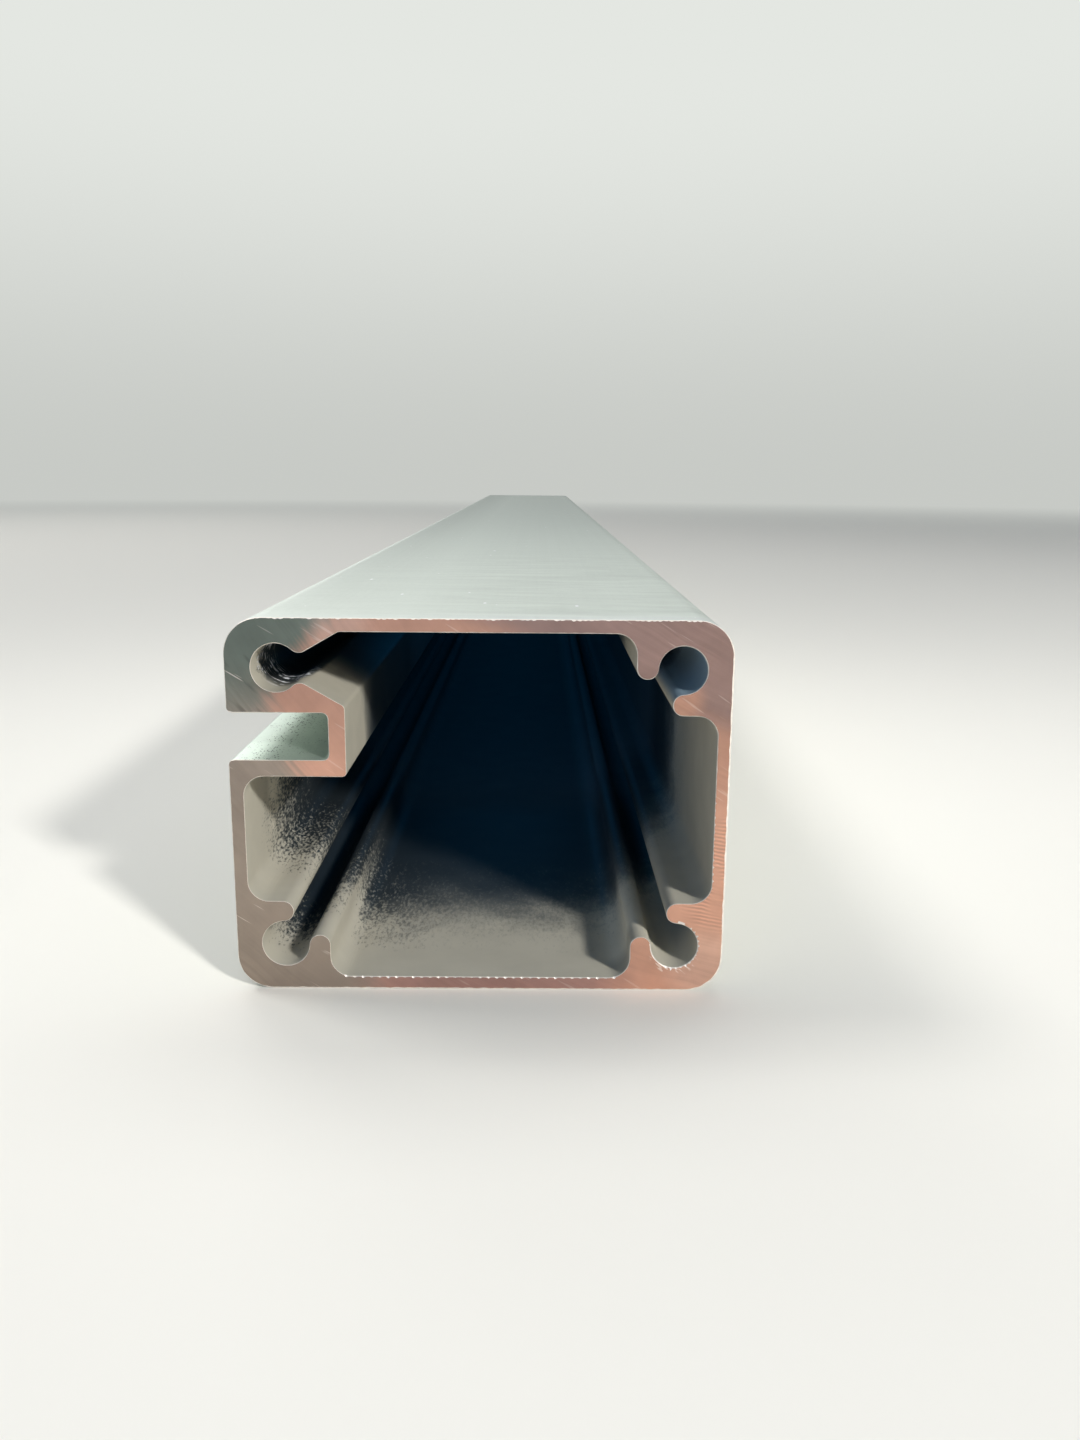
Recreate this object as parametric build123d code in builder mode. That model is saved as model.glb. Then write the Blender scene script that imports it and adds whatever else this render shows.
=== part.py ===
from build123d import *
import math
import os

# A hollow aluminium extrusion, sawn to length: a rounded box section with a screw port in
# each corner and a groove along the left side. X runs across the section, Y along the
# profile and Z up. The origin is the middle of the underside, halfway along. Millimetres.

# The bar
length = 700.0
width = 60.0
height = 46.4
outer_radius = 4.4
wall = 1.65

# Screw ports, one in each corner and open to the hollow along their whole length
port_radius = 2.9
port_inset_x = 6.0
port_inset_z = 5.95
port_mouth = 3.6
finger_width = 2.6
root_radius = 2.5

# The upper left port opens sideways, between two flanks that slope at this many degrees
flank_slope = 30.0
flank_radius = 0.6

# The groove, and the metal between it and the hollow
groove_depth = 12.0
groove_width = 5.75
groove_lip_radius = 0.6
groove_root_radius = 0.7
groove_wall = 2.05
groove_wall_radius = 0.5
groove_cover = 2.5

# Inner faces of the walls, and centres of the ports
inner_x = width / 2 - wall
inner_low = wall
inner_high = height - wall
port_x = width / 2 - port_inset_x
port_low = port_inset_z
port_high = height - port_inset_z

# The groove lies under the upper left port
groove_high = port_high - port_radius - groove_cover
groove_low = groove_high - groove_width
groove_end = groove_depth - width / 2
shelf_low = groove_low - groove_wall
shelf_end = groove_end + groove_wall

# The round tips on both sides of a port's mouth
tip_radius = finger_width / 2
tip_offset = port_radius + tip_radius
mouth_angle = math.degrees(math.asin((port_mouth / 2 + tip_radius) / tip_offset))


def polar(x, z, radius, degrees):
    """The point at this distance and angle from (x, z)."""
    return (x + radius * math.cos(math.radians(degrees)), z + radius * math.sin(math.radians(degrees)))


def screw_port(x, z, facing, flank):
    """Draws a port with its mouth facing this angle, and the two tips of the mouth.

    A tip ends where its far side starts, which leans away from the mouth by the flank angle.
    Gives the two ends, first the one anticlockwise from the mouth.
    """
    CenterArc((x, z), port_radius, facing + mouth_angle, 360 - 2 * mouth_angle)
    turn = 90 + flank - mouth_angle
    ends = []
    for side in (1, -1):
        tip = polar(x, z, tip_offset, facing + side * mouth_angle)
        arc = CenterArc(tip, tip_radius, facing + 180 + side * mouth_angle, side * turn)
        ends.append(arc @ 1)
    return ends


with BuildPart() as extruded_profile:
    with BuildSketch(Plane.XZ.offset(-length / 2)) as section:
        # The outside, with the groove open to the left
        with BuildLine():
            FilletPolyline(
                (-width / 2, 0),
                (width / 2, 0),
                (width / 2, height),
                (-width / 2, height),
                (-width / 2, groove_high),
                (groove_end, groove_high),
                (groove_end, groove_low),
                (-width / 2, groove_low),
                radius=[outer_radius] * 4
                + [groove_lip_radius, groove_root_radius, groove_root_radius, groove_lip_radius],
                close=True,
            )
        make_face()

        # The hollow: the four ports, joined clockwise by the faces between them
        with BuildLine():
            square_finger = 135
            upper_flank, lower_flank = screw_port(-port_x, port_high, 0, flank_slope)
            right_start, top_end = screw_port(port_x, port_high, 225, square_finger)
            floor_start, right_end = screw_port(port_x, port_low, 135, square_finger)
            left_start, floor_end = screw_port(-port_x, port_low, 45, square_finger)
            slope = math.tan(math.radians(flank_slope))
            FilletPolyline(
                upper_flank,
                (upper_flank.X + (inner_high - upper_flank.Y) / slope, inner_high),
                (top_end.X, inner_high),
                top_end,
                radius=[flank_radius, root_radius],
            )
            FilletPolyline(
                right_start,
                (inner_x, right_start.Y),
                (inner_x, right_end.Y),
                right_end,
                radius=root_radius,
            )
            FilletPolyline(
                floor_start,
                (floor_start.X, inner_low),
                (floor_end.X, inner_low),
                floor_end,
                radius=root_radius,
            )
            FilletPolyline(
                left_start,
                (-inner_x, left_start.Y),
                (-inner_x, shelf_low),
                (shelf_end, shelf_low),
                (shelf_end, lower_flank.Y - (shelf_end - lower_flank.X) * slope),
                lower_flank,
                radius=[root_radius, root_radius, groove_wall_radius, flank_radius],
            )
        make_face(mode=Mode.SUBTRACT)
    extrude(amount=length)

extruded_profile.part.label = "extruded_profile"
os.makedirs("parts", exist_ok=True)
export_step(extruded_profile.part, "parts/extruded_profile.step")
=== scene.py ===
"""A sawn length of hollow aluminium extrusion on a plain studio stage.

Laid out as an add-on and run as a script. Everything is in metres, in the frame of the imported
model: X across the section, Y along the profile, Z up, the origin under its middle.
"""

import math
import random

import bmesh
import bpy
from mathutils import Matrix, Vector, noise


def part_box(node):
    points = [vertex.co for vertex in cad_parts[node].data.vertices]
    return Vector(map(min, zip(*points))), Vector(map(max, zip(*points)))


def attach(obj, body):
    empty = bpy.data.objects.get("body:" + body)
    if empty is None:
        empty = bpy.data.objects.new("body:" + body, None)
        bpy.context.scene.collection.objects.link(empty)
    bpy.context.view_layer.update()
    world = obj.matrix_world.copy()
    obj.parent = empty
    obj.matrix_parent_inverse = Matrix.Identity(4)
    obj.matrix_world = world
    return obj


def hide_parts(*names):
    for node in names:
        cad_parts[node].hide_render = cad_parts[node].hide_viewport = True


bl_info = {
    "name": "Aluminium Extrusion Profile",
    "version": (1, 0, 0),
    "blender": (4, 5, 0),
    "location": "3D View > Sidebar > Profile",
    "description": "Models a sawn length of hollow aluminium extrusion and a plain stage for it",
    "category": "Object",
}

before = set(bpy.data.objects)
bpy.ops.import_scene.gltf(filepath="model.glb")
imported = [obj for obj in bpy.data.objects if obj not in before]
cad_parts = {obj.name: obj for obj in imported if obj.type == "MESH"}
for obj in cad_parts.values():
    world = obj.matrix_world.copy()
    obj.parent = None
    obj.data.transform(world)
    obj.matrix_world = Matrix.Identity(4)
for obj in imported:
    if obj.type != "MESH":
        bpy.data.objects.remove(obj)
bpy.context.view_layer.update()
NODE = "extruded_profile"
LOW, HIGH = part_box(NODE)

MM = 0.001
# Points closer than this are one
SAME = 1e-6
# Material slots of the profile, in order
OUTSIDE, GROOVE, INSIDE, SAWN, RIM = range(5)
# Steps round a finger's tip and round a port, and how long a step round any other corner is
TIP_STEPS, PORT_STEPS, CORNER_STEP = 18, 72, 0.25 * MM

# Range in which most values of a noise texture lie, for a Map Range node
NOISE_RANGE = {"From Min": 0.3, "From Max": 0.7}
# Settings of a Map Range node that eases in and out, and of a Mix node that multiplies a colour
EASED = {"interpolation_type": "SMOOTHSTEP"}
TONED = {"data_type": "RGBA", "blend_type": "MULTIPLY", "clamp_result": True}


def linear(hex_colour):
    """Turns an sRGB hex colour into the linear RGBA that Blender works in."""
    channels = [int(hex_colour[i:i + 2], 16) / 255 for i in (0, 2, 4)]
    return tuple(c / 12.92 if c <= 0.04045 else ((c + 0.055) / 1.055) ** 2.4 for c in channels) + (1.0,)


def millimetres(name, description, default):
    """A length that the user sees in the scene's units, given here in millimetres."""
    return bpy.props.FloatProperty(
        name=name, description=description, default=default * MM, min=0.0, precision=5,
        subtype="DISTANCE", unit="LENGTH",
    )


def colour(name, description, hex_colour):
    """A colour that the user can change, given here as sRGB hex."""
    return bpy.props.FloatVectorProperty(
        name=name, description=description, default=linear(hex_colour), size=4, min=0.0, max=1.0,
        subtype="COLOR",
    )


def watts(name, description, default):
    """The power of a lamp."""
    return bpy.props.FloatProperty(name=name, description=description, default=default, unit="POWER")


class ProfileSizes(bpy.types.PropertyGroup):
    """Sizes of the section, as the die made it, and of the sawn edges"""

    length: millimetres("Length", "Length that the profile is sawn to", (HIGH[1] - LOW[1]) / MM)
    width: millimetres("Width", "Width of the section", (HIGH[0] - LOW[0]) / MM)
    height: millimetres("Height", "Height of the section", (HIGH[2] - LOW[2]) / MM)
    outer_radius: millimetres("Corner Radius", "Radius of the four outer corners", 4.4)
    wall: millimetres("Wall", "Thickness of the outer walls", 1.65)
    port_radius: millimetres("Port Radius", "Inner radius of the screw ports", 2.9)
    port_inset_x: millimetres("Port Inset X", "From the side faces to the port centres", 6.0)
    port_inset_z: millimetres("Port Inset Z", "From the top and bottom to the port centres", 5.95)
    port_mouth: millimetres("Port Mouth", "Width of a port's opening to the hollow", 3.6)
    finger_width: millimetres("Finger Width", "Thickness of the lips that hold a port", 2.6)
    root_radius: millimetres("Root Radius", "Radius where a wall meets a port", 2.5)
    flank_radius: millimetres("Flank Radius", "Radius where the upper left flanks end", 0.6)
    groove_depth: millimetres("Groove Depth", "Depth of the side groove", 12.0)
    groove_width: millimetres("Groove Width", "Height of the side groove's opening", 5.75)
    groove_lip_radius: millimetres("Groove Lip Radius", "Radius of the groove's outer edges", 0.6)
    groove_root_radius: millimetres("Groove Root Radius", "Radius of the groove's inner edges", 0.7)
    groove_wall: millimetres("Groove Wall", "Thickness of the metal round the groove", 2.05)
    groove_wall_radius: millimetres("Groove Wall Radius", "Radius of that metal's outer edge", 0.5)
    groove_cover: millimetres("Groove Cover", "Metal between the groove and the port over it", 2.5)
    rim: millimetres("Sawn Rim", "Width of the bright edge that the blade leaves", 0.12)
    grain: millimetres("Edge Step", "Spacing of the points along a sawn edge", 0.16)
    flank_slope: bpy.props.FloatProperty(
        name="Flank Slope",
        description="Slope of the two flanks beside the upper left port's mouth",
        default=math.radians(30.0),
        subtype="ANGLE",
        unit="ROTATION",
    )


class ProfileFinish(bpy.types.PropertyGroup):
    """Colours of the metal as it was drawn, anodised and sawn"""

    anodised: colour("Anodised", "Natural satin anodising on the outside", "d7ddd3")
    # Also painted sheen near the outside ends and painted glints inside the upper left port
    dust_and_sheen: colour("Dust", "Dust and saw crumbs on the outside", "ffffff")
    # Painted light and shade: the groove is a paler copy for its lit lip, and its dirt also paints shade
    groove: colour("Groove", "Anodising in the groove, which was never wiped", "e9f4e8")
    groove_dirt_and_shade: colour("Groove Dirt", "Dirt in the groove", "3a4440")
    # Painted reflection: the sawn colours down to Sawn Rose tint the metal with what it mirrors
    sawn: colour("Sawn", "Bare sawn metal over most of the face", "d19d81")
    sawn_grey_reflection: colour("Sawn Grey", "Sawn metal at the upper left", "676b5d")
    sawn_brown_reflection: colour("Sawn Brown", "Sawn metal at the lower left", "978674")
    sawn_high_reflection: colour("Sawn High", "Bare sawn metal over the upper part", "b4876f")
    sawn_dull_reflection: colour("Sawn Dull", "Sawn metal at the upper right", "8f7367")
    sawn_rose_reflection: colour("Sawn Rose", "Sawn metal at the middle of the bottom", "a98172")
    # Also painted highlight in two pale patches on the sawn face
    scratch_and_highlight: colour("Scratch", "Light scratches on the sawn face", "f0dcc8")
    burr: colour("Burr", "The thin rim that the blade leaves", "f2e7d8")
    coated: colour("Inner Coat", "Matt film inside, near the ends", "bdb7a6")
    # Painted shade: its bluish grey stands for the cool light in the port's shade
    port_coat_in_cool_shade: colour("Port Coat", "Thinner, bluish film in the upper right port", "889ba6")
    bare: colour("Inner Bare", "Dull metal deeper inside", "4e575b")


class StageSettings(bpy.types.PropertyGroup):
    """The plain floor, its light and the camera"""

    floor: colour("Floor", "Plain pale floor", "eae6dc")
    backdrop: colour("Backdrop", "Plain pale backdrop, as seen and as mirrored", "e4e7e2")
    key_watts: watts("Key Light", "Power of the compact lamp in front, on the right", 24.0)
    back_watts: watts(
        "Back Light",
        "Power of the large soft lamp behind, on the left, which shines into the groove", 4.6,
    )
    side_watts: watts("Side Light", "Power of the high soft lamp on the left", 10.0)
    fill_watts: watts(
        "Fill Light",
        "Power of the large soft lamp in front, on the left, which reaches into the hollow", 7.0,
    )
    window_watts: watts(
        "Window Light", "Power of the small lamp above the near end, which the top mirrors", 0.28
    )
    depth_watts: watts("Depth Light", "Power of the faint blue strip along the hollow", 0.0135)
    depth_tint: colour("Depth Tint", "Colour of the strip along the hollow", "26b4ff")
    fill_tint: colour("Fill Tint", "Colour of the fill light", "8cbcff")
    sky: colour("Sky", "Cool light from all round", "a4c4e8")
    lens: bpy.props.FloatProperty(
        name="Lens", description="Focal length of the camera", default=28.86, subtype="DISTANCE_CAMERA"
    )


def add(tree, kind, inputs=None, **settings):
    """Adds a shader node with its settings, and sets its inputs or links them to a socket.

    A node that is given in place of a socket stands for its first output.
    """
    node = tree.nodes.new("ShaderNode" + kind)
    for name, value in settings.items():
        setattr(node, name, value)
    for name, value in (inputs or {}).items():
        if isinstance(value, bpy.types.Node):
            value = value.outputs[0]
        if isinstance(value, bpy.types.NodeSocket):
            tree.links.new(value, node.inputs[name])
        else:
            node.inputs[name].default_value = value
    return node


def per_mm(x, y, z):
    """The scale of a pattern whose unit is this many millimetres along each axis. Inf is endless."""
    return tuple(1 / (unit * MM) for unit in (x, y, z))


def new_material(name):
    """An empty material. Gives it, its node tree and the place on the piece that is being shaded."""
    material = bpy.data.materials.new(name)
    material.use_nodes = True
    tree = material.node_tree
    tree.nodes.clear()
    return material, tree, add(tree, "TexCoord").outputs["Object"]


def groove_span(sizes):
    """Heights of the groove's floor and ceiling."""
    high = sizes.height - sizes.port_inset_z - sizes.port_radius - sizes.groove_cover
    return high - sizes.groove_width, high


def past_edge(tree, place, slope, start, end, wander):
    """How far a place lies past a slanting edge across the section.

    It is 0 where x + slope * z is start and 1 where that is end, both in millimetres. The edge
    wanders by the last value, in metres.
    """
    apart = add(tree, "SeparateXYZ", {0: place})
    line = add(
        tree, "Math", {0: apart.outputs["Z"], 1: slope, 2: apart.outputs["X"]}, operation="MULTIPLY_ADD"
    )
    line = add(tree, "Math", {0: line, 1: wander}, operation="ADD")
    return add(tree, "MapRange", {"Value": line, "From Min": start * MM, "From Max": end * MM}, **EASED)


def from_line(tree, place, x, z):
    """Distance of a place from a line along the profile, in metres."""
    reach = add(tree, "VectorMath", {0: place, 1: (x, 0.0, z)}, operation="SUBTRACT")
    reach = add(tree, "VectorMath", {0: reach, 1: (1.0, 0.0, 1.0)}, operation="MULTIPLY")
    return add(tree, "VectorMath", {0: reach}, operation="LENGTH").outputs["Value"]


def near_line(tree, place, x, z, whole, end):
    """How near a place lies to a line along the profile: 1 within whole and 0 past end, in metres."""
    return add(
        tree, "MapRange",
        {"Value": from_line(tree, place, x, z), "From Min": end, "From Max": whole},
        **EASED,
    )


def depth_from_end(tree, place, sizes):
    """How far a place lies from the nearer sawn end."""
    along = add(tree, "SeparateXYZ", {0: place}).outputs["Y"]
    along = add(tree, "Math", {0: along}, operation="ABSOLUTE")
    return add(tree, "Math", {0: sizes.length / 2, 1: along}, operation="SUBTRACT")


def strokes(tree, place, slope, length, width, detail, start, end, most):
    """Short strokes on the sawn face, which slope down to the right by this many degrees.

    Length and width are those of the noise they come from, in millimetres. They are 0 where it is
    start, and most where it is end.
    """
    turned = add(tree, "Mapping", {"Vector": place, "Rotation": (0.0, math.radians(-slope), 0.0)})
    turned = add(tree, "Mapping", {"Vector": turned, "Scale": per_mm(length, math.inf, width)})
    fine = add(tree, "TexNoise", {"Vector": turned, "Scale": 1.0, "Detail": detail})
    return add(
        tree, "MapRange", {"Value": fine, "From Min": start, "From Max": end, "To Max": most}, **EASED
    )


def anodised_material(sizes, finish, name, in_groove):
    """Aluminium, extruded, etched and anodised in its natural colour.

    That gives a pale satin metal. On the outside it has soft light and dark streaks across it near
    the ends, bright crumbs of sawdust, a haze that is partly sawdust and partly painted sheen on the
    last 8 mm, and painted shade at the left. In the groove it is a paler copy, painted light for its
    lit lip, with dark specks, which nothing wiped off, and painted shade further in.
    """
    material, tree, place = new_material(name)
    across = add(tree, "SeparateXYZ", {0: place}).outputs["X"]
    end_depth = depth_from_end(tree, place, sizes)
    base, speck_and_painted_light = (finish.groove, finish.groove_dirt_and_shade) if in_groove else (finish.anodised, finish.dust_and_sheen)

    # Die lines, about 0.4 mm apart and some 200 mm long
    lines = add(tree, "Mapping", {"Vector": place, "Scale": per_mm(0.8, 400, 0.8)})
    lines = add(tree, "TexNoise", {"Vector": lines, "Scale": 1.0, "Detail": 3.0, "Roughness": 0.6})

    # Etched grain, drawn at 0.5 mm, because the real 0.05 mm is too fine to show
    grain = add(tree, "Mapping", {"Vector": place, "Scale": per_mm(0.5, 1.5, 0.5)})
    grain = add(tree, "TexNoise", {"Vector": grain, "Scale": 1.0})

    # Soft light and dark streaks, 3 mm wide and some 25 mm long, which lie right of the middle near the
    # ends
    streaks = add(
        tree, "Mapping",
        {"Vector": place, "Rotation": (0.0, 0.0, math.radians(6)), "Scale": per_mm(24, 6, 24)},
    )
    streaks = add(
        tree, "TexNoise",
        {"Vector": streaks, "Scale": 1.0, "Detail": 4.0, "Roughness": 0.6, "Distortion": 1.2},
    )
    streaks = add(tree, "MapRange", {"Value": streaks, **NOISE_RANGE, "To Min": -0.1, "To Max": 0.1})
    ends = add(
        tree, "MapRange",
        {"Value": end_depth, "From Min": 130 * MM, "From Max": 50 * MM, "To Min": 0.12},
        **EASED,
    )
    side = add(
        tree, "MapRange",
        {"Value": across, "From Min": -14 * MM, "From Max": 4 * MM, "To Min": 0.25},
        **EASED,
    )
    streaks = add(tree, "Math", {0: streaks, 1: ends}, operation="MULTIPLY")
    streaks = add(tree, "Math", {0: streaks, 1: side}, operation="MULTIPLY")
    shade = add(tree, "MapRange", {"Value": lines, **NOISE_RANGE, "To Min": 0.988, "To Max": 1.012})
    shade = add(tree, "Math", {0: shade, 1: streaks}, operation="ADD")
    if not in_groove:
        # Painted shade: a little darker at the left
        left = add(
            tree, "MapRange",
            {"Value": across, "From Min": -22 * MM, "From Max": -10 * MM, "To Min": -0.12, "To Max": 0.0},
        )
        shade = add(tree, "Math", {0: shade, 1: left}, operation="ADD")
    metal = add(tree, "Mix", {0: 1.0, 6: base[:], 7: shade}, **TONED)

    # Partly sawdust and partly painted sheen on the last 8 mm, thinner at the left; in the groove,
    # painted shade from 3 mm in, past its lit strip
    if in_groove:
        start = 2.5 * MM - sizes.width / 2
        haze = {"Value": across, "From Min": start, "From Max": start + 3 * MM, "To Max": 0.34}
    else:
        haze = {"Value": end_depth, "From Min": 8 * MM, "From Max": 1 * MM, "To Max": 0.24}
    haze = add(tree, "MapRange", haze, **EASED)
    if not in_groove:
        haze = add(tree, "Math", {0: haze, 1: side}, operation="MULTIPLY")
    metal = add(tree, "Mix", {0: haze, 6: metal.outputs[2], 7: speck_and_painted_light[:]}, data_type="RGBA")

    # Crumbs of dust some 3 mm apart, or specks of dirt under 1 mm apart
    spacing = per_mm(0.28, 0.5, 0.28) if in_groove else per_mm(2.4, 9, 2.4)
    cells = add(tree, "Mapping", {"Vector": place, "Scale": spacing})
    cells = add(tree, "TexVoronoi", {"Vector": cells, "Scale": 1.0})
    chance = add(tree, "SeparateColor", {0: cells.outputs["Color"]})
    size = add(
        tree, "MapRange",
        {"Value": chance, "From Min": 0.1 if in_groove else 0.35, "To Max": 0.46 if in_groove else 0.13},
    )
    specks = add(tree, "Math", {0: size, 1: cells.outputs["Distance"]}, operation="SUBTRACT")
    patches = add(tree, "TexNoise", {"Vector": place, "Scale": 1 / (3.5 * MM), "Detail": 1.0})
    least, most = (0.05, 0.4) if in_groove else (0.9, 0.9)
    patches = add(
        tree, "MapRange",
        {"Value": patches, "From Min": 0.45, "From Max": 0.6, "To Min": least, "To Max": most},
        **EASED,
    )
    if in_groove:
        low = groove_span(sizes)[0]
        border = near_line(tree, place, 4.2 * MM - sizes.width / 2, low, 0.8 * MM, 2.8 * MM)
        patches = add(tree, "Math", {0: patches, 1: border}, operation="MAXIMUM")
    specks = add(tree, "MapRange", {"Value": specks, "From Max": 0.05, "To Max": patches})
    tint = add(tree, "Mix", {0: specks, 6: metal.outputs[2], 7: speck_and_painted_light[:]}, data_type="RGBA")
    roughness = add(tree, "MapRange", {"Value": grain, **NOISE_RANGE, "To Min": 0.42, "To Max": 0.5})
    bump = add(tree, "Bump", {"Strength": 0.1, "Distance": 0.02 * MM, "Height": lines})
    bump = add(tree, "Bump", {"Strength": 0.2, "Distance": 0.02 * MM, "Height": grain, "Normal": bump})
    shader = add(
        tree, "BsdfPrincipled",
        {"Base Color": tint.outputs[2], "Metallic": 0.85, "Roughness": roughness, "Normal": bump},
    )
    add(tree, "OutputMaterial", {"Surface": shader})
    return material


def sawn_material(finish):
    """Bare aluminium, cut by a circular saw.

    The blade leaves shallow arcs about its own centre, which break the reflection into tones that
    change where the blade met the metal at a new angle. These copper, brown, rose and grey tones are
    painted reflections in the base colour, with ripples at the lower right, dark smears at the upper
    left and lighter scratches, most of them at the lower left.
    """
    material, tree, place = new_material("sawn_aluminium")

    # Distance from the blade's centre, up and to the right of the section, a little uneven
    radius = from_line(tree, place, 50 * MM, 88 * MM)
    wander = add(tree, "TexNoise", {"Vector": place, "Scale": 1 / (9 * MM), "Detail": 1.0})
    wander = add(tree, "MapRange", {"Value": wander, "To Min": -0.8 * MM, "To Max": 0.8 * MM})
    radius = add(tree, "Math", {0: radius, 1: wander}, operation="ADD")

    # Arcs of the teeth, 0.8 mm apart, clearer in some places than in others
    arcs = add(tree, "Math", {0: radius, 1: 1 / (0.8 * MM)}, operation="MULTIPLY")
    arcs = add(
        tree, "TexNoise",
        {"W": arcs, "Scale": 1.0, "Detail": 2.5, "Roughness": 0.55},
        noise_dimensions="1D",
    )
    clear = add(tree, "TexNoise", {"Vector": place, "Scale": 1 / (8 * MM)})
    clear = add(
        tree, "MapRange", {"Value": clear, "From Min": 0.35, "From Max": 0.65, "To Min": 0.2}, **EASED
    )
    tone = add(tree, "MapRange", {"Value": arcs, **NOISE_RANGE, "To Min": -0.06, "To Max": 0.06})
    tone = add(tree, "Math", {0: tone, 1: clear}, operation="MULTIPLY")

    # Painted reflection: broader fans of light and dark, 6 mm and more across
    fans = add(tree, "Math", {0: radius, 1: 1 / (7 * MM)}, operation="MULTIPLY")
    fans = add(tree, "TexNoise", {"W": fans, "Scale": 1.0, "Detail": 1.0}, noise_dimensions="1D")
    fans = add(tree, "MapRange", {"Value": fans, **NOISE_RANGE, "To Min": 0.93, "To Max": 1.05})
    tone = add(tree, "Math", {0: tone, 1: fans}, operation="ADD")

    # Ripples 0.47 mm apart at the lower right, where the blade shook, some deeper than others
    ripples = from_line(tree, place, 41 * MM, 88 * MM)
    shake = add(tree, "TexNoise", {"Vector": place, "Scale": 1 / (2.8 * MM)})
    ripples = add(tree, "Math", {0: shake, 1: 0.7 * MM, 2: ripples}, operation="MULTIPLY_ADD")
    ripples = add(tree, "Math", {0: ripples, 1: 2 * math.pi / (0.47 * MM)}, operation="MULTIPLY")
    ripples = add(tree, "Math", {0: ripples}, operation="SINE")
    ripples = add(tree, "Math", {0: ripples, 1: 3.0}, operation="POWER")
    deep = add(
        tree, "MapRange",
        {"Value": shake, "From Min": 0.4, "From Max": 0.62, "To Min": 0.02, "To Max": 0.28},
    )
    ripples = add(tree, "Math", {0: ripples, 1: deep}, operation="MULTIPLY")
    rippled = near_line(tree, place, 31 * MM, 15 * MM, 6.3 * MM, 8.3 * MM)
    ripples = add(tree, "Math", {0: ripples, 1: rippled}, operation="MULTIPLY")
    tone = add(tree, "Math", {0: tone, 1: ripples}, operation="ADD")

    # Painted reflection: tones, one over the other, most of them with a slanting edge across the section
    streaky = add(
        tree, "MapRange", {"Value": arcs, **NOISE_RANGE, "To Min": -0.6 * MM, "To Max": 0.6 * MM}
    )
    streaky = add(tree, "Math", {0: streaky, 1: wander}, operation="ADD")
    high = past_edge(tree, place, 6.0, 145.0, 215.0, 0.0)
    brown = past_edge(tree, place, 0.38, -9.0, -13.5, streaky)
    dull = past_edge(tree, place, 2.286, 101.0, 111.0, streaky)
    rose = near_line(tree, place, 2 * MM, -2 * MM, 11 * MM, 20 * MM)
    grey = past_edge(tree, place, -0.755, -51.0, -55.0, streaky)

    # The dull tone leaves out the finger under its port, and the grey one fades in above 29 mm, for
    # which a slope this steep makes the edge level
    finger = near_line(tree, place, 24 * MM, 37 * MM, 1 * MM, 3.5 * MM)
    finger = add(tree, "Math", {0: 1.0, 1: finger}, operation="SUBTRACT")
    dull = add(tree, "Math", {0: dull, 1: finger}, operation="MULTIPLY")
    above = past_edge(tree, place, 1000.0, 29000.0, 42000.0, 0.0)
    grey = add(tree, "Math", {0: grey, 1: above}, operation="MULTIPLY")
    tones = [
        (high, finish.sawn_high_reflection), (brown, finish.sawn_brown_reflection), (dull, finish.sawn_dull_reflection),
        (rose, finish.sawn_rose_reflection), (grey, finish.sawn_grey_reflection),
    ]

    # Painted highlight: a little paler in the lower right corner, and at the top edge over the end of the
    # groove
    for x, z, whole, end, share in ((28.0, 3.0, 2.5, 6.5, 0.15), (-16.5, 46.0, 1.5, 5.0, 0.13)):
        pale = near_line(tree, place, x * MM, z * MM, whole * MM, end * MM)
        pale = add(tree, "Math", {0: pale, 1: share}, operation="MULTIPLY")
        tones.append((pale, finish.scratch_and_highlight))
    # Painted reflection: the copper base and every tone over it
    metal = finish.sawn[:]
    for share, over in tones:
        metal = add(tree, "Mix", {0: share, 6: metal, 7: over[:]}, data_type="RGBA").outputs[2]

    # Mottled by the light at 2.5 mm
    mottle = add(tree, "TexNoise", {"Vector": place, "Scale": 1 / (2.5 * MM), "Detail": 3.0})
    mottle = add(tree, "MapRange", {"Value": mottle, **NOISE_RANGE, "To Min": -0.05, "To Max": 0.05})
    tone = add(tree, "Math", {0: tone, 1: mottle}, operation="ADD")

    # Dark smears, some 3 mm long, sloping 50 degrees down to the right
    smears = strokes(
        tree, place, slope=50, length=6, width=1.1, detail=1.5, start=0.56, end=0.68, most=-0.3
    )
    smeared = near_line(tree, place, -30 * MM, 38 * MM, 3 * MM, 8 * MM)
    smears = add(tree, "Math", {0: smears, 1: smeared}, operation="MULTIPLY")
    tone = add(tree, "Math", {0: tone, 1: smears}, operation="ADD")
    metal = add(tree, "Mix", {0: 1.0, 6: metal, 7: tone}, **TONED)

    # Scratches, 0.15 mm wide and some 3 mm long, sloping 32 degrees down to the right
    scratches = strokes(
        tree, place, slope=32, length=7, width=0.5, detail=1.0, start=0.68, end=0.73, most=0.5
    )
    under_port = near_line(tree, place, 24.5 * MM, 1.5 * MM, 2 * MM, 3.5 * MM)
    beside_port = near_line(tree, place, 28 * MM, 40 * MM, 1 * MM, 3 * MM)
    scratched = add(tree, "Math", {0: brown, 1: under_port}, operation="MAXIMUM")
    scratched = add(tree, "Math", {0: scratched, 1: beside_port}, operation="MAXIMUM")
    scratched = add(tree, "MapRange", {"Value": scratched, "To Min": 0.35})
    scratches = add(tree, "Math", {0: scratches, 1: scratched}, operation="MULTIPLY")

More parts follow.
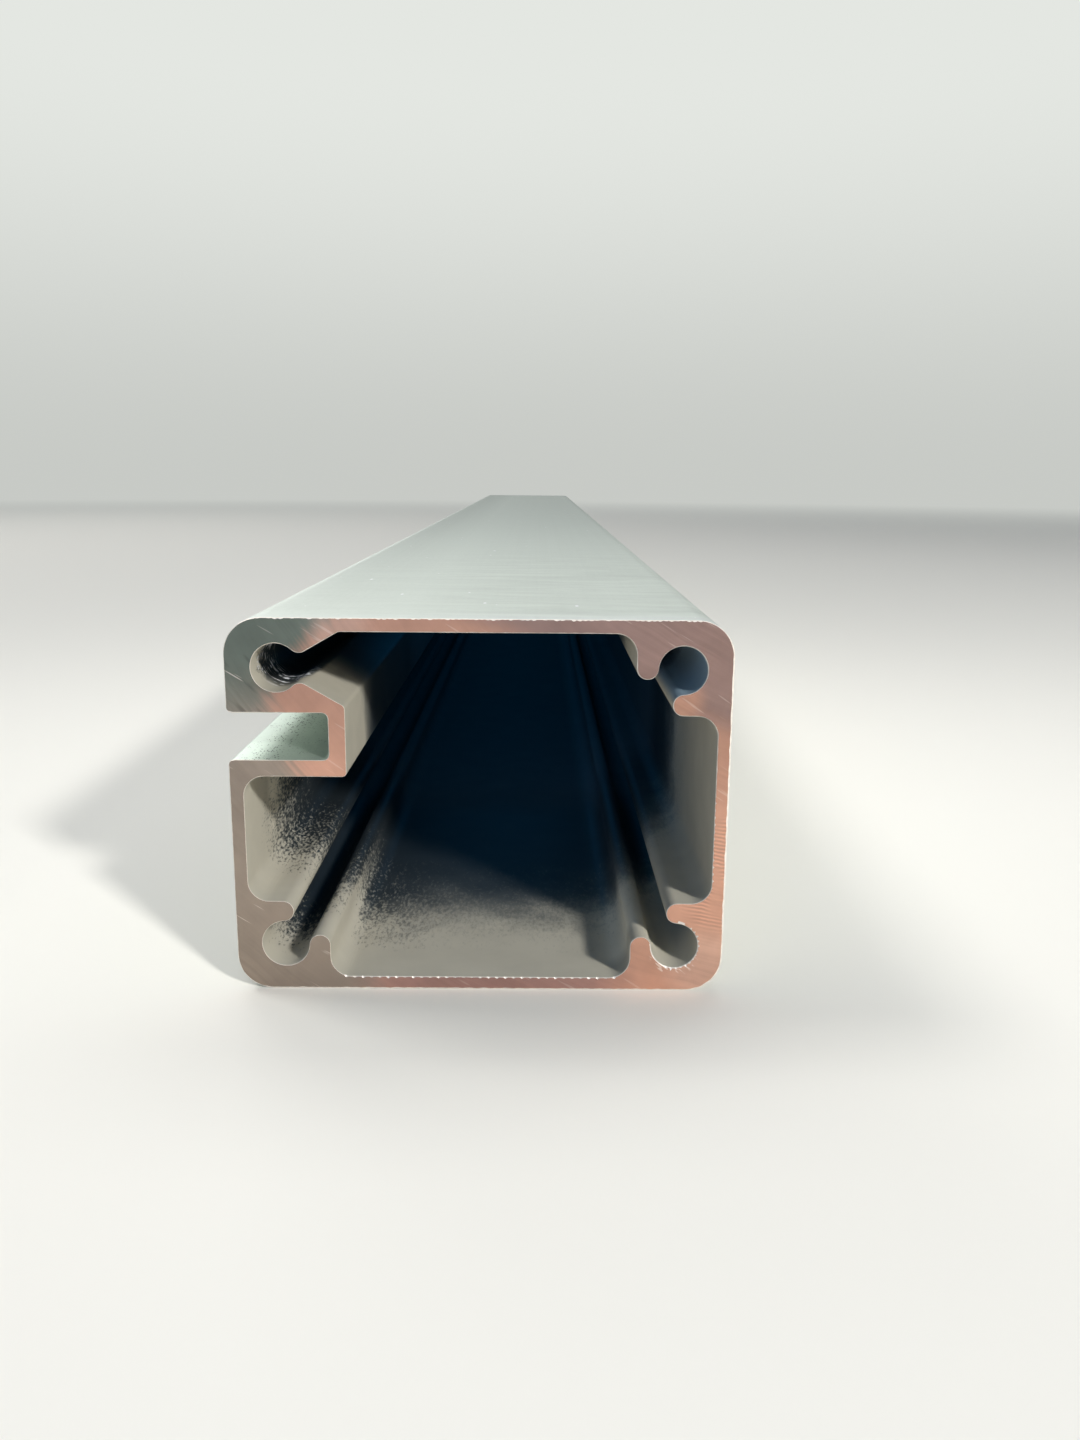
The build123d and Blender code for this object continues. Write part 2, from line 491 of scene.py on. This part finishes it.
    # Short bright dashes in the lower right corner, where the teeth left the port
    dashes = strokes(
        tree, place, slope=38, length=1.5, width=0.4, detail=1.0, start=0.57, end=0.64, most=0.7
    )
    below_port = near_line(tree, place, 24 * MM, 4.9 * MM, 2.6 * MM, 3.2 * MM)
    dashes = add(tree, "Math", {0: dashes, 1: below_port}, operation="MULTIPLY")
    scratches = add(tree, "Math", {0: scratches, 1: dashes}, operation="MAXIMUM")
    tint = add(tree, "Mix", {0: scratches, 6: metal.outputs[2], 7: finish.scratch_and_highlight[:]}, data_type="RGBA")
    height = add(tree, "Math", {0: arcs, 1: clear}, operation="MULTIPLY")
    bump = add(tree, "Bump", {"Strength": 0.5, "Distance": 0.05 * MM, "Height": height})
    shader = add(
        tree, "BsdfPrincipled",
        {"Base Color": tint.outputs[2], "Metallic": 0.75, "Roughness": 0.5, "Normal": bump},
    )
    add(tree, "OutputMaterial", {"Surface": shader})
    return material


def inner_material(sizes, finish):
    """Aluminium as it left the die, inside the hollow.

    Anodising creeps in from each end and leaves a pale matt film there. The film breaks up into
    grains and leaves the dull bare metal, which looks nearly black in the depth.
    """
    material, tree, place = new_material("drawn_aluminium_inside")
    across = add(tree, "SeparateXYZ", {0: place}).outputs["X"]
    end_depth = depth_from_end(tree, place, sizes)

    # The film ends sooner in three ports, and is thinner in the upper right one, where its bluish grey is
    # painted cool shade
    port_x = sizes.port_inset_x - sizes.width / 2
    port_high = sizes.height - sizes.port_inset_z
    depth = end_depth
    for x, z, factor in (
        (port_x, port_high, 4.4), (port_x, sizes.port_inset_z, 1.9), (-port_x, port_high, 1.4)
    ):
        port = near_line(tree, place, x, z, sizes.port_radius + 0.2 * MM, sizes.port_radius + 1.4 * MM)
        times = add(tree, "MapRange", {"Value": port, "To Min": 1.0, "To Max": factor})
        depth = add(tree, "Math", {0: depth, 1: times}, operation="MULTIPLY")
    coated = add(tree, "Mix", {0: port, 6: finish.coated[:], 7: finish.port_coat_in_cool_shade[:]}, data_type="RGBA")

    # It is whole up to about 10 mm from the end and gone past 50 mm. It reaches further on the right
    # wall and beside the lower left finger, and less far on the metal round the groove
    uneven = add(
        tree, "TexNoise", {"Vector": place, "Scale": 1 / (14 * MM), "Detail": 4.0, "Roughness": 0.6}
    )
    uneven = add(tree, "MapRange", {"Value": uneven, **NOISE_RANGE, "To Min": -5 * MM, "To Max": 5 * MM})
    reach = add(tree, "Math", {0: depth, 1: uneven}, operation="ADD")
    right = add(
        tree, "MapRange", {"Value": across, "From Min": 20 * MM, "From Max": 28 * MM, "To Max": 22 * MM}
    )
    reach = add(tree, "Math", {0: reach, 1: right}, operation="SUBTRACT")
    beside_finger = near_line(tree, place, -19 * MM, 4 * MM, 1.2 * MM, 2.6 * MM)
    reach = add(tree, "Math", {0: beside_finger, 1: -11 * MM, 2: reach}, operation="MULTIPLY_ADD")
    round_groove = near_line(tree, place, -17 * MM, 34 * MM, 9 * MM, 12 * MM)
    sooner = add(
        tree, "MapRange",
        {"Value": end_depth, "From Min": 15 * MM, "From Max": 45 * MM, "To Max": 45 * MM},
    )
    sooner = add(tree, "Math", {0: sooner, 1: round_groove}, operation="MULTIPLY")
    reach = add(tree, "Math", {0: reach, 1: sooner}, operation="ADD")
    film = add(
        tree, "MapRange",
        {"Value": reach, "From Min": 15 * MM, "From Max": 50 * MM, "To Min": 1.0, "To Max": 0.0},
    )
    film = add(tree, "Math", {0: film, 1: 3.0}, operation="POWER")

    # Where it breaks up it is grains, 0.2 mm across and drawn out along the profile. They are clear
    # on the left, and a mere haze from the middle to the right
    grains = add(tree, "Mapping", {"Vector": place, "Scale": per_mm(0.36, 0.95, 0.36)})
    grains = add(tree, "TexNoise", {"Vector": grains, "Scale": 1.0, "Detail": 3.0, "Roughness": 0.65})
    share = add(
        tree, "MapRange",
        {"Value": reach, "From Min": 8 * MM, "From Max": 49 * MM, "To Min": 1.0, "To Max": 0.0},
    )
    share = add(tree, "Math", {0: share, 1: 2.0}, operation="POWER")
    grains = add(tree, "Math", {0: share, 1: 0.4, 2: grains}, operation="MULTIPLY_ADD")
    grains = add(tree, "MapRange", {"Value": grains, "From Min": 0.6, "From Max": 0.8})
    gone = add(tree, "Math", {0: 1.0, 1: share}, operation="SUBTRACT")
    breaking = add(tree, "Math", {0: share, 1: gone}, operation="MULTIPLY")
    breaking = add(tree, "MapRange", {"Value": breaking, "From Max": 0.05})
    coarse = add(
        tree, "MapRange",
        {"Value": across, "From Min": -26 * MM, "From Max": -4 * MM, "To Min": 0.85, "To Max": 0.2},
        **EASED,
    )
    coarse = add(tree, "Math", {0: coarse, 1: breaking}, operation="MULTIPLY")
    smooth = add(tree, "Math", {0: 1.0, 1: round_groove}, operation="SUBTRACT")
    coarse = add(tree, "Math", {0: coarse, 1: smooth}, operation="MULTIPLY")
    cover = add(tree, "Mix", {0: coarse, 2: film, 3: grains}, data_type="FLOAT")

    # The bare metal is a little shiny near the ends, and matt past 90 mm
    clean = add(tree, "MapRange", {"Value": end_depth, "From Min": 90 * MM, "From Max": 66 * MM}, **EASED)
    metallic = add(tree, "MapRange", {"Value": cover, "To Min": clean, "To Max": 0.0})
    dullness = add(tree, "MapRange", {"Value": clean, "To Min": 0.9, "To Max": 0.62})
    roughness = add(tree, "MapRange", {"Value": cover, "To Min": dullness, "To Max": 0.75})

    # Stained by the light at 6 mm, and painted shade round the groove
    stain_and_painted_light = add(tree, "TexNoise", {"Vector": place, "Scale": 1 / (6 * MM)})
    stain_and_painted_light = add(tree, "MapRange", {"Value": stain_and_painted_light, **NOISE_RANGE, "To Min": 0.95, "To Max": 1.04})
    stain_and_painted_light = add(tree, "Math", {0: round_groove, 1: -0.14, 2: stain_and_painted_light}, operation="MULTIPLY_ADD")

    # Painted light: paler by half from 4.5 mm in, beside the lower right finger, and from 13 mm in, on
    # the left wall, where both lie in shade
    for x, z, whole, end, start in ((18.3, 4.0, 2.2, 4.8, 4.5), (-28.4, 22.0, 3.0, 7.0, 13.0)):
        painted_light_patch = near_line(tree, place, x * MM, z * MM, whole * MM, end * MM)
        inward = {"From Min": (start - 1.5) * MM, "From Max": (start + 1.5) * MM, "To Max": 0.5}
        inward = add(tree, "MapRange", {"Value": end_depth, **inward})
        stain_and_painted_light = add(tree, "Math", {0: painted_light_patch, 1: inward, 2: stain_and_painted_light}, operation="MULTIPLY_ADD")
    tint = add(tree, "Mix", {0: cover, 6: finish.bare[:], 7: coated.outputs[2]}, data_type="RGBA")
    tint = add(tree, "Mix", {0: 1.0, 6: tint.outputs[2], 7: stain_and_painted_light}, **TONED)

    # Painted glints: pale rings on the bare metal just inside the upper left port, where the die dragged
    painted_glints = add(tree, "Mapping", {"Vector": place, "Scale": per_mm(1.6, 0.8, 1.6)})
    painted_glints = add(tree, "TexNoise", {"Vector": painted_glints, "Scale": 1.0, "Detail": 1.0, "Distortion": 1.0})
    painted_glints = add(tree, "MapRange", {"Value": painted_glints, "From Min": 0.55, "From Max": 0.63}, **EASED)
    port = near_line(tree, place, port_x, port_high, sizes.port_radius, 2 * sizes.port_radius)
    near_end = add(
        tree, "MapRange", {"Value": end_depth, "From Min": 16 * MM, "From Max": 8 * MM}, **EASED
    )
    for share in (port, near_end, metallic):
        painted_glints = add(tree, "Math", {0: painted_glints, 1: share}, operation="MULTIPLY")
    tint = add(tree, "Mix", {0: painted_glints, 6: tint.outputs[2], 7: finish.dust_and_sheen[:]}, data_type="RGBA")
    metallic = add(tree, "Math", {0: metallic, 1: painted_glints}, operation="SUBTRACT")
    bump = add(tree, "Bump", {"Strength": 0.3, "Distance": 0.04 * MM, "Height": cover})
    shader = add(
        tree, "BsdfPrincipled",
        {
            "Base Color": tint.outputs[2],
            "Metallic": metallic,
            "Roughness": roughness,
            "Specular IOR Level": 0.3,
            "Normal": bump,
        },
    )
    add(tree, "OutputMaterial", {"Surface": shader})
    return material


def rim_material(finish):
    """Aluminium burr, torn by the saw's teeth: fresh rough metal that shows pale from any side."""
    material, tree, place = new_material("torn_aluminium_burr")
    torn = add(tree, "TexNoise", {"Vector": place, "Scale": 1 / (0.6 * MM)})
    shade = add(tree, "MapRange", {"Value": torn, "From Min": 0.35, "From Max": 0.65, "To Min": 0.85})
    tint = add(tree, "Mix", {0: 1.0, 6: finish.burr[:], 7: shade}, **TONED)
    shader = add(
        tree, "BsdfPrincipled", {"Base Color": tint.outputs[2], "Metallic": 0.35, "Roughness": 0.5}
    )
    add(tree, "OutputMaterial", {"Surface": shader})
    return material


class Pen:
    """Draws a closed line in one plane across the profile, clockwise as seen from the front."""

    def __init__(self, mesh, x, y, z):
        self.mesh = mesh
        self.y = y
        self.corners = []
        self.tip = bmesh.ops.create_vert(mesh, co=(x, y, z))["vert"][0]
        self.verts = [self.tip]

    def line(self, x, z, radius=0.0, turn=90.0):
        """A straight stretch to (x, z), where a corner of this radius may follow."""
        grown = bmesh.ops.extrude_vert_indiv(self.mesh, verts=[self.tip])
        self.tip = grown["verts"][0]
        self.tip.co = (x, self.y, z)
        self.verts.append(self.tip)
        if radius:
            self.corners.append((self.tip, radius, turn))

    def arc(self, x, z, degrees, steps):
        """An arc about (x, z), anticlockwise where the angle is positive."""
        before = set(self.mesh.verts)
        turned = bmesh.ops.spin(
            self.mesh, geom=[self.tip], cent=(x, self.y, z), axis=(0.0, -1.0, 0.0),
            angle=math.radians(degrees), steps=steps,
        )
        self.tip = turned["geom_last"][0]
        self.verts += [vert for vert in self.mesh.verts if vert not in before]

    def close(self):
        """Joins the ends, rounds the corners and gives the line's edges."""
        ends = [self.verts[0], self.tip]
        if (ends[0].co - ends[1].co).length > SAME:
            self.mesh.edges.new(ends)
        else:
            bmesh.ops.remove_doubles(self.mesh, verts=ends, dist=SAME)
        for vert, radius, turn in self.corners:
            bmesh.ops.bevel(
                self.mesh, geom=[vert], affect="VERTICES", offset_type="OFFSET",
                offset=radius * math.tan(math.radians(turn) / 2),
                segments=max(3, round(radius / CORNER_STEP * turn / 90)), profile=0.5, material=-1,
            )
        return [edge for edge in self.mesh.edges if edge.is_wire]


def draw_outside(mesh, sizes, y):
    """The outline of the section, with the groove open to the left."""
    side = sizes.width / 2
    groove_low, groove_high = groove_span(sizes)
    groove_end = sizes.groove_depth - side
    pen = Pen(mesh, 0.0, y, 0.0)
    pen.line(-side, 0.0, sizes.outer_radius)
    pen.line(-side, groove_low, sizes.groove_lip_radius)
    pen.line(groove_end, groove_low, sizes.groove_root_radius)
    pen.line(groove_end, groove_high, sizes.groove_root_radius)
    pen.line(-side, groove_high, sizes.groove_lip_radius)
    pen.line(-side, sizes.height, sizes.outer_radius)
    pen.line(side, sizes.height, sizes.outer_radius)
    pen.line(side, 0.0, sizes.outer_radius)
    return pen.close()


def polar(x, z, radius, degrees):
    """The point at this distance and angle from (x, z)."""
    return x + radius * math.cos(math.radians(degrees)), z + radius * math.sin(math.radians(degrees))


class Port:
    """A screw port whose mouth faces this angle, between two round-tipped fingers."""

    def __init__(self, sizes, x, z, facing, flank):
        self.x, self.z = x, z
        tip_radius = sizes.finger_width / 2
        reach = sizes.port_radius + tip_radius
        self.mouth = math.degrees(math.asin((sizes.port_mouth / 2 + tip_radius) / reach))
        self.turn = 90 + flank - self.mouth
        self.first_tip = polar(x, z, reach, facing - self.mouth)
        self.last_tip = polar(x, z, reach, facing + self.mouth)
        self.start = polar(*self.first_tip, tip_radius, facing + 90 - flank)
        self.end = polar(*self.last_tip, tip_radius, facing - 90 + flank)

    def draw(self, pen):
        """Draws both fingers and the port between them."""
        pen.line(*self.start)
        pen.arc(*self.first_tip, self.turn, TIP_STEPS)
        pen.arc(self.x, self.z, 2 * self.mouth - 360, PORT_STEPS)
        pen.arc(*self.last_tip, self.turn, TIP_STEPS)


def draw_hollow(mesh, sizes, y):
    """The outline of the hollow: four ports, joined by the inner faces of the walls."""
    inner_x = sizes.width / 2 - sizes.wall
    inner_low = sizes.wall
    inner_high = sizes.height - sizes.wall
    port_x = sizes.width / 2 - sizes.port_inset_x
    port_low = sizes.port_inset_z
    port_high = sizes.height - sizes.port_inset_z
    shelf_low = groove_span(sizes)[0] - sizes.groove_wall
    shelf_end = sizes.groove_depth - sizes.width / 2 + sizes.groove_wall
    slope = math.tan(sizes.flank_slope)
    flank = math.degrees(sizes.flank_slope)
    upper_left = Port(sizes, -port_x, port_high, 0, flank)
    upper_right = Port(sizes, port_x, port_high, 225, 135)
    lower_right = Port(sizes, port_x, port_low, 135, 135)
    lower_left = Port(sizes, -port_x, port_low, 45, 135)

    flank_top = upper_left.end[0] + (inner_high - upper_left.end[1]) / slope
    flank_foot = upper_left.start[1] - (shelf_end - upper_left.start[0]) * slope
    pen = Pen(mesh, upper_left.end[0], y, upper_left.end[1])
    pen.line(flank_top, inner_high, sizes.flank_radius, flank)
    pen.line(upper_right.start[0], inner_high, sizes.root_radius)
    upper_right.draw(pen)
    pen.line(inner_x, upper_right.end[1], sizes.root_radius)
    pen.line(inner_x, lower_right.start[1], sizes.root_radius)
    lower_right.draw(pen)
    pen.line(lower_right.end[0], inner_low, sizes.root_radius)
    pen.line(lower_left.start[0], inner_low, sizes.root_radius)
    lower_left.draw(pen)
    pen.line(-inner_x, lower_left.end[1], sizes.root_radius)
    pen.line(-inner_x, shelf_low, sizes.root_radius)
    pen.line(shelf_end, shelf_low, sizes.groove_wall_radius)
    pen.line(shelf_end, flank_foot, sizes.flank_radius, 90 - flank)
    upper_left.draw(pen)
    return pen.close()


def draw_out(mesh, edges, sizes, slot):
    """Parts the line finely for the saw's marks, and draws it out along the profile."""
    for edge in edges:
        cuts = math.ceil(edge.calc_length() / sizes.grain) - 1
        if cuts > 0:
            bmesh.ops.subdivide_edges(mesh, edges=[edge], cuts=cuts)
    line = [edge for edge in mesh.edges if edge.is_wire]
    grown = bmesh.ops.extrude_edge_only(mesh, edges=line)["geom"]
    far = [item for item in grown if isinstance(item, bmesh.types.BMVert)]
    bmesh.ops.translate(mesh, verts=far, vec=(0.0, sizes.length - 2 * sizes.rim, 0.0))
    walls = [item for item in grown if isinstance(item, bmesh.types.BMFace)]
    for face in walls:
        face.material_index = slot
        face.smooth = True
    return walls


def nick(x, z, inward, outside, sizes, chance):
    """How much wider the torn rim is at this place than its usual width.

    Inward points from the edge into the metal. The blade came down through the top, where it
    left a mark for each tooth. It left a wider burr on the right and underneath, a chip about
    every millimetre along the inner edges of the floor and of the right wall, and finer ones
    round the lower right port. Just right of that port's mouth is one wide tear.
    """
    # Sizes of the marks, the last one in degrees, and how far the rows of chips reach
    patch, tooth_mark, floor_chip, wall_chip, port_chip = 0.9 * MM, 0.67 * MM, 1.04 * MM, 0.9 * MM, 12
    floor_half, wall_low, wall_high, near = 19 * MM, 9 * MM, 25 * MM, 0.2 * MM
    tear = 1.0 + 0.35 * noise.noise(Vector((x, 0.0, z)) / patch)
    port = (x - sizes.width / 2 + sizes.port_inset_x, z - sizes.port_inset_z)
    on_port = abs(math.hypot(*port) - sizes.port_radius) < near / 2
    round_port = math.degrees(math.atan2(port[1], port[0]))
    chip = None
    if outside and inward.z < -0.99:
        tooth = x / tooth_mark
        tear *= 0.5 + 1.2 * chance[int(tooth) % len(chance)] * abs(math.sin(math.pi * tooth))
    elif outside:
        tear *= 0.8 + 0.8 * max(0.0, inward.z - inward.x)
    elif abs(z - sizes.wall) < near and abs(x) < floor_half:
        chip = x / floor_chip
    elif abs(x - sizes.width / 2 + sizes.wall) < near and wall_low < z < wall_high:
        chip = z / wall_chip
    elif on_port and -110 < round_port < 50:
        chip = round_port / port_chip
        tear *= 1.5
    elif on_port:
        tear *= 3.2 if 66 < round_port < 82 else 1.0
    else:
        tear *= 0.6 + 0.2 * (inward.x + inward.z)
    if chip is not None:
        size = 0.5 + 1.3 * chance[round(chip) % len(chance)]
        tear *= 0.5 + size * max(0.0, math.cos(2 * math.pi * chip)) ** 2
    return tear


def saw_end(mesh, sizes, sign, chance):
    """Closes one end with the sawn face and its torn rim."""
    plane = sign * (sizes.length / 2 - sizes.rim)
    edges = [
        edge for edge in mesh.edges
        if edge.is_boundary and all(abs(vert.co.y - plane) < SAME for vert in edge.verts)
    ]
    filled = bmesh.ops.triangle_fill(
        mesh, edges=edges, use_beauty=True, use_dissolve=False, normal=(0.0, sign, 0.0)
    )["geom"]
    faces = [item for item in filled if isinstance(item, bmesh.types.BMFace)]
    for face in faces:
        face.material_index = SAWN
        face.smooth = False
        if face.normal.y * sign < 0:
            face.normal_flip()
    rim = bmesh.ops.inset_region(
        mesh, faces=faces, use_boundary=True, use_even_offset=True, thickness=sizes.rim, depth=sizes.rim
    )["faces"]
    for face in rim:
        face.material_index = RIM
        face.smooth = False
    spokes = {
        edge for face in rim for edge in face.edges
        if abs(edge.verts[0].co.y - edge.verts[1].co.y) > sizes.rim / 2
    }
    for edge in spokes:
        outer, inner = sorted(edge.verts, key=lambda vert: abs(vert.co.y))
        outside = any(face.material_index == OUTSIDE for face in outer.link_faces)
        step = inner.co - outer.co
        inward = Vector((step.x, 0.0, step.z)).normalized()
        wide = nick(outer.co.x, outer.co.z, inward, outside, sizes, chance)
        inner.co = outer.co + Vector((step.x * wide, step.y, step.z * wide))
    for face in rim:
        for edge in face.edges:
            if edge not in spokes:
                edge.smooth = False


def new_object(scene, name, mesh, materials):
    """Turns the faces of a drawn mesh outward, and makes it an object at the origin."""
    bmesh.ops.recalc_face_normals(mesh, faces=mesh.faces)
    data = bpy.data.meshes.new(name)
    mesh.to_mesh(data)
    mesh.free()
    for material in materials:
        data.materials.append(material)
    item = bpy.data.objects.new(name, data)
    scene.collection.objects.link(item)
    return item


class MESH_OT_extruded_profile(bpy.types.Operator):
    """Model the sawn profile: the section drawn with a pen, drawn out and sawn at both ends"""

    bl_idname = "mesh.extruded_profile"
    bl_label = "Extruded Profile"
    bl_options = {"REGISTER", "UNDO"}

    def execute(self, context):
        sizes = context.scene.profile_sizes
        finish = context.scene.profile_finish
        mesh = bmesh.new()
        start = sizes.rim - sizes.length / 2
        outer = draw_out(mesh, draw_outside(mesh, sizes, start), sizes, OUTSIDE)
        low, high = groove_span(sizes)
        lip = sizes.groove_lip_radius / 2 - sizes.width / 2
        for face in outer:
            centre = face.calc_center_median()
            if low - SAME < centre.z < high + SAME and lip < centre.x < 0:
                face.material_index = GROOVE
        draw_out(mesh, draw_hollow(mesh, sizes, start), sizes, INSIDE)

        # How deep each mark of the saw is, over and over
        draws = random.Random(11)
        chance = [draws.random() for _ in range(97)]
        for sign in (-1, 1):
            saw_end(mesh, sizes, sign, chance)
        bmesh.ops.remove_doubles(mesh, verts=mesh.verts, dist=SAME / 10)
        if any(not edge.is_manifold for edge in mesh.edges):
            raise RuntimeError("The profile isn't closed")
        piece = new_object(context.scene, "profile", mesh, (
            anodised_material(sizes, finish, "satin_anodised_aluminium", False),
            anodised_material(sizes, finish, "satin_anodised_groove", True),
            inner_material(sizes, finish),
            sawn_material(finish),
            rim_material(finish),
        ))
        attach(piece, "root")
        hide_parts(NODE)
        return {"FINISHED"}


def lamp(scene, name, azimuth, elevation, distance, size, power, aim, tint=(1.0, 1.0, 1.0)):
    """An area lamp that looks at aim. Azimuth 0 is in front of the sawn end, 90 on the right."""
    data = bpy.data.lights.new(name, "AREA")
    data.shape = "RECTANGLE"
    data.size, data.size_y = size
    data.energy = power
    data.color = tint
    item = bpy.data.objects.new(name, data)
    turn, rise = math.radians(azimuth), math.radians(elevation)
    away = Vector((math.sin(turn) * math.cos(rise), -math.cos(turn) * math.cos(rise), math.sin(rise)))
    item.location = Vector(aim) + away * distance
    item.rotation_euler = away.to_track_quat("Z", "Y").to_euler()
    item.visible_camera = False
    scene.collection.objects.link(item)


class OBJECT_OT_profile_stage(bpy.types.Operator):
    """Add the plain floor and backdrop, the soft light and the camera"""

    bl_idname = "object.profile_stage"
    bl_label = "Profile Stage"
    bl_options = {"REGISTER", "UNDO"}

    def execute(self, context):
        scene = context.scene
        stage = scene.profile_stage

        # A round floor, just under the profile, that curves up into the backdrop on all sides
        flat, bend, wall, drop = 2.6, 0.9, 1.6, 0.05 * MM
        mesh = bmesh.new()
        centre = bmesh.ops.create_vert(mesh, co=(0.0, 0.0, -drop))["vert"]
        grown = bmesh.ops.extrude_vert_indiv(mesh, verts=centre)["verts"]
        bmesh.ops.translate(mesh, verts=grown, vec=(flat, 0.0, 0.0))
        foot = bmesh.ops.spin(
            mesh, geom=grown, cent=(flat, 0.0, bend - drop), axis=(0.0, -1.0, 0.0),
            angle=math.radians(90), steps=16,
        )["geom_last"]
        grown = bmesh.ops.extrude_vert_indiv(mesh, verts=foot[:1])["verts"]
        bmesh.ops.translate(mesh, verts=grown, vec=(0.0, 0.0, wall))
        bmesh.ops.spin(
            mesh, geom=mesh.verts[:] + mesh.edges[:], cent=(0.0, 0.0, 0.0), axis=(0.0, 0.0, 1.0),
            angle=math.radians(360), steps=96, use_merge=True,
        )
        bmesh.ops.remove_doubles(mesh, verts=mesh.verts, dist=SAME)
        for face in mesh.faces:
            face.smooth = True
        floor = new_object(scene, "floor", mesh, [self.floor_material(stage)])

        mouth, near_top, middle = (0.0, -0.35, 0.023), (0.0, -0.35, 0.046), (0.0, -0.1, 0.0)
        lamp(scene, "key", 38, 28, 1.6, (0.14, 0.14), stage.key_watts, mouth)
        lamp(scene, "back", -150, 37, 1.7, (0.7, 0.7), stage.back_watts, middle)
        lamp(scene, "side", -100, 56, 1.7, (0.5, 0.5), stage.side_watts, middle)
        lamp(scene, "window", 180, 60, 0.25, (0.3, 0.1), stage.window_watts, near_top)
        lamp(
            scene, "depth", 0, 90, 0.04, (0.03, 0.62), stage.depth_watts, (0.0, 0.0, 0.003),
            stage.depth_tint[:3],
        )
        lamp(scene, "fill", -14, 9, 1.6, (1.2, 0.8), stage.fill_watts, mouth, stage.fill_tint[:3])

        world = bpy.data.worlds.new("studio")
        world.use_nodes = True
        background = world.node_tree.nodes["Background"].inputs
        background["Color"].default_value = stage.sky[:]
        background["Strength"].default_value = 0.2
        scene.world = world
        scene.view_settings.view_transform = "Standard"

        # The camera stands where the photograph was taken, looks down and leans a little
        data = bpy.data.cameras.new("camera")
        data.lens = stage.lens
        data.sensor_width = 36.0
        data.clip_start = 0.01
        data.clip_end = 20.0
        camera = bpy.data.objects.new("camera", data)
        camera.location = (6.576 * MM, -483.74 * MM, 63.259 * MM)
        camera.rotation_mode = "XYZ"
        camera.rotation_euler = (math.radians(90 - 12.167), math.radians(-0.455), math.radians(-0.157))
        scene.collection.objects.link(camera)
        scene.camera = camera
        return {"FINISHED"}

    @staticmethod
    def floor_material(stage):
        """Painted board: plain and matt, and pale where only the eye or a reflection sees it."""
        material, tree, place = new_material("matt_painted_board")
        away = add(tree, "VectorMath", {0: place}, operation="LENGTH").outputs["Value"]
        rise = add(tree, "MapRange", {"Value": away, "From Min": 0.5, "From Max": 2.2}, **EASED)
        height = add(tree, "SeparateXYZ", {0: place}).outputs["Z"]
        path = add(tree, "LightPath")
        camera_ray = path.outputs["Is Camera Ray"]
        low = add(tree, "MapRange", {"Value": camera_ray, "To Min": 0.2, "To Max": 0.74})
        high = add(tree, "MapRange", {"Value": camera_ray, "To Min": 0.55})
        bright = add(
            tree, "MapRange", {"Value": height, "From Max": 1.3, "To Min": low, "To Max": high}, **EASED
        )
        seen = add(tree, "Math", {0: camera_ray, 1: path.outputs["Is Glossy Ray"]}, operation="MAXIMUM")
        shown = add(tree, "Math", {0: rise, 1: seen}, operation="MULTIPLY")
        board = add(tree, "BsdfDiffuse", {"Color": stage.floor[:]})
        glow = add(tree, "Emission", {"Color": stage.backdrop[:], "Strength": bright})
        surface = add(tree, "MixShader", {0: shown, 1: board, 2: glow})
        add(tree, "OutputMaterial", {"Surface": surface})
        return material


class VIEW3D_PT_profile(bpy.types.Panel):
    """Sidebar panel with the sizes, colours and buttons"""

    bl_label = "Extrusion Profile"
    bl_space_type = "VIEW_3D"
    bl_region_type = "UI"
    bl_category = "Profile"

    def draw(self, context):
        layout = self.layout
        layout.use_property_split = True
        for group in ("profile_sizes", "profile_finish", "profile_stage"):
            settings = getattr(context.scene, group)
            column = layout.column()
            for name in settings.__annotations__:
                column.prop(settings, name)
        layout.operator(MESH_OT_extruded_profile.bl_idname)
        layout.operator(OBJECT_OT_profile_stage.bl_idname)


CLASSES = (
    ProfileSizes,
    ProfileFinish,
    StageSettings,
    MESH_OT_extruded_profile,
    OBJECT_OT_profile_stage,
    VIEW3D_PT_profile,
)


def register():
    for item in CLASSES:
        bpy.utils.register_class(item)
    bpy.types.Scene.profile_sizes = bpy.props.PointerProperty(type=ProfileSizes)
    bpy.types.Scene.profile_finish = bpy.props.PointerProperty(type=ProfileFinish)
    bpy.types.Scene.profile_stage = bpy.props.PointerProperty(type=StageSettings)


def unregister():
    del bpy.types.Scene.profile_stage
    del bpy.types.Scene.profile_finish
    del bpy.types.Scene.profile_sizes
    for item in reversed(CLASSES):
        bpy.utils.unregister_class(item)


def main():
    """Builds everything in order."""
    register()
    bpy.ops.mesh.extruded_profile()
    bpy.ops.object.profile_stage()


if __name__ == "__main__":
    main()
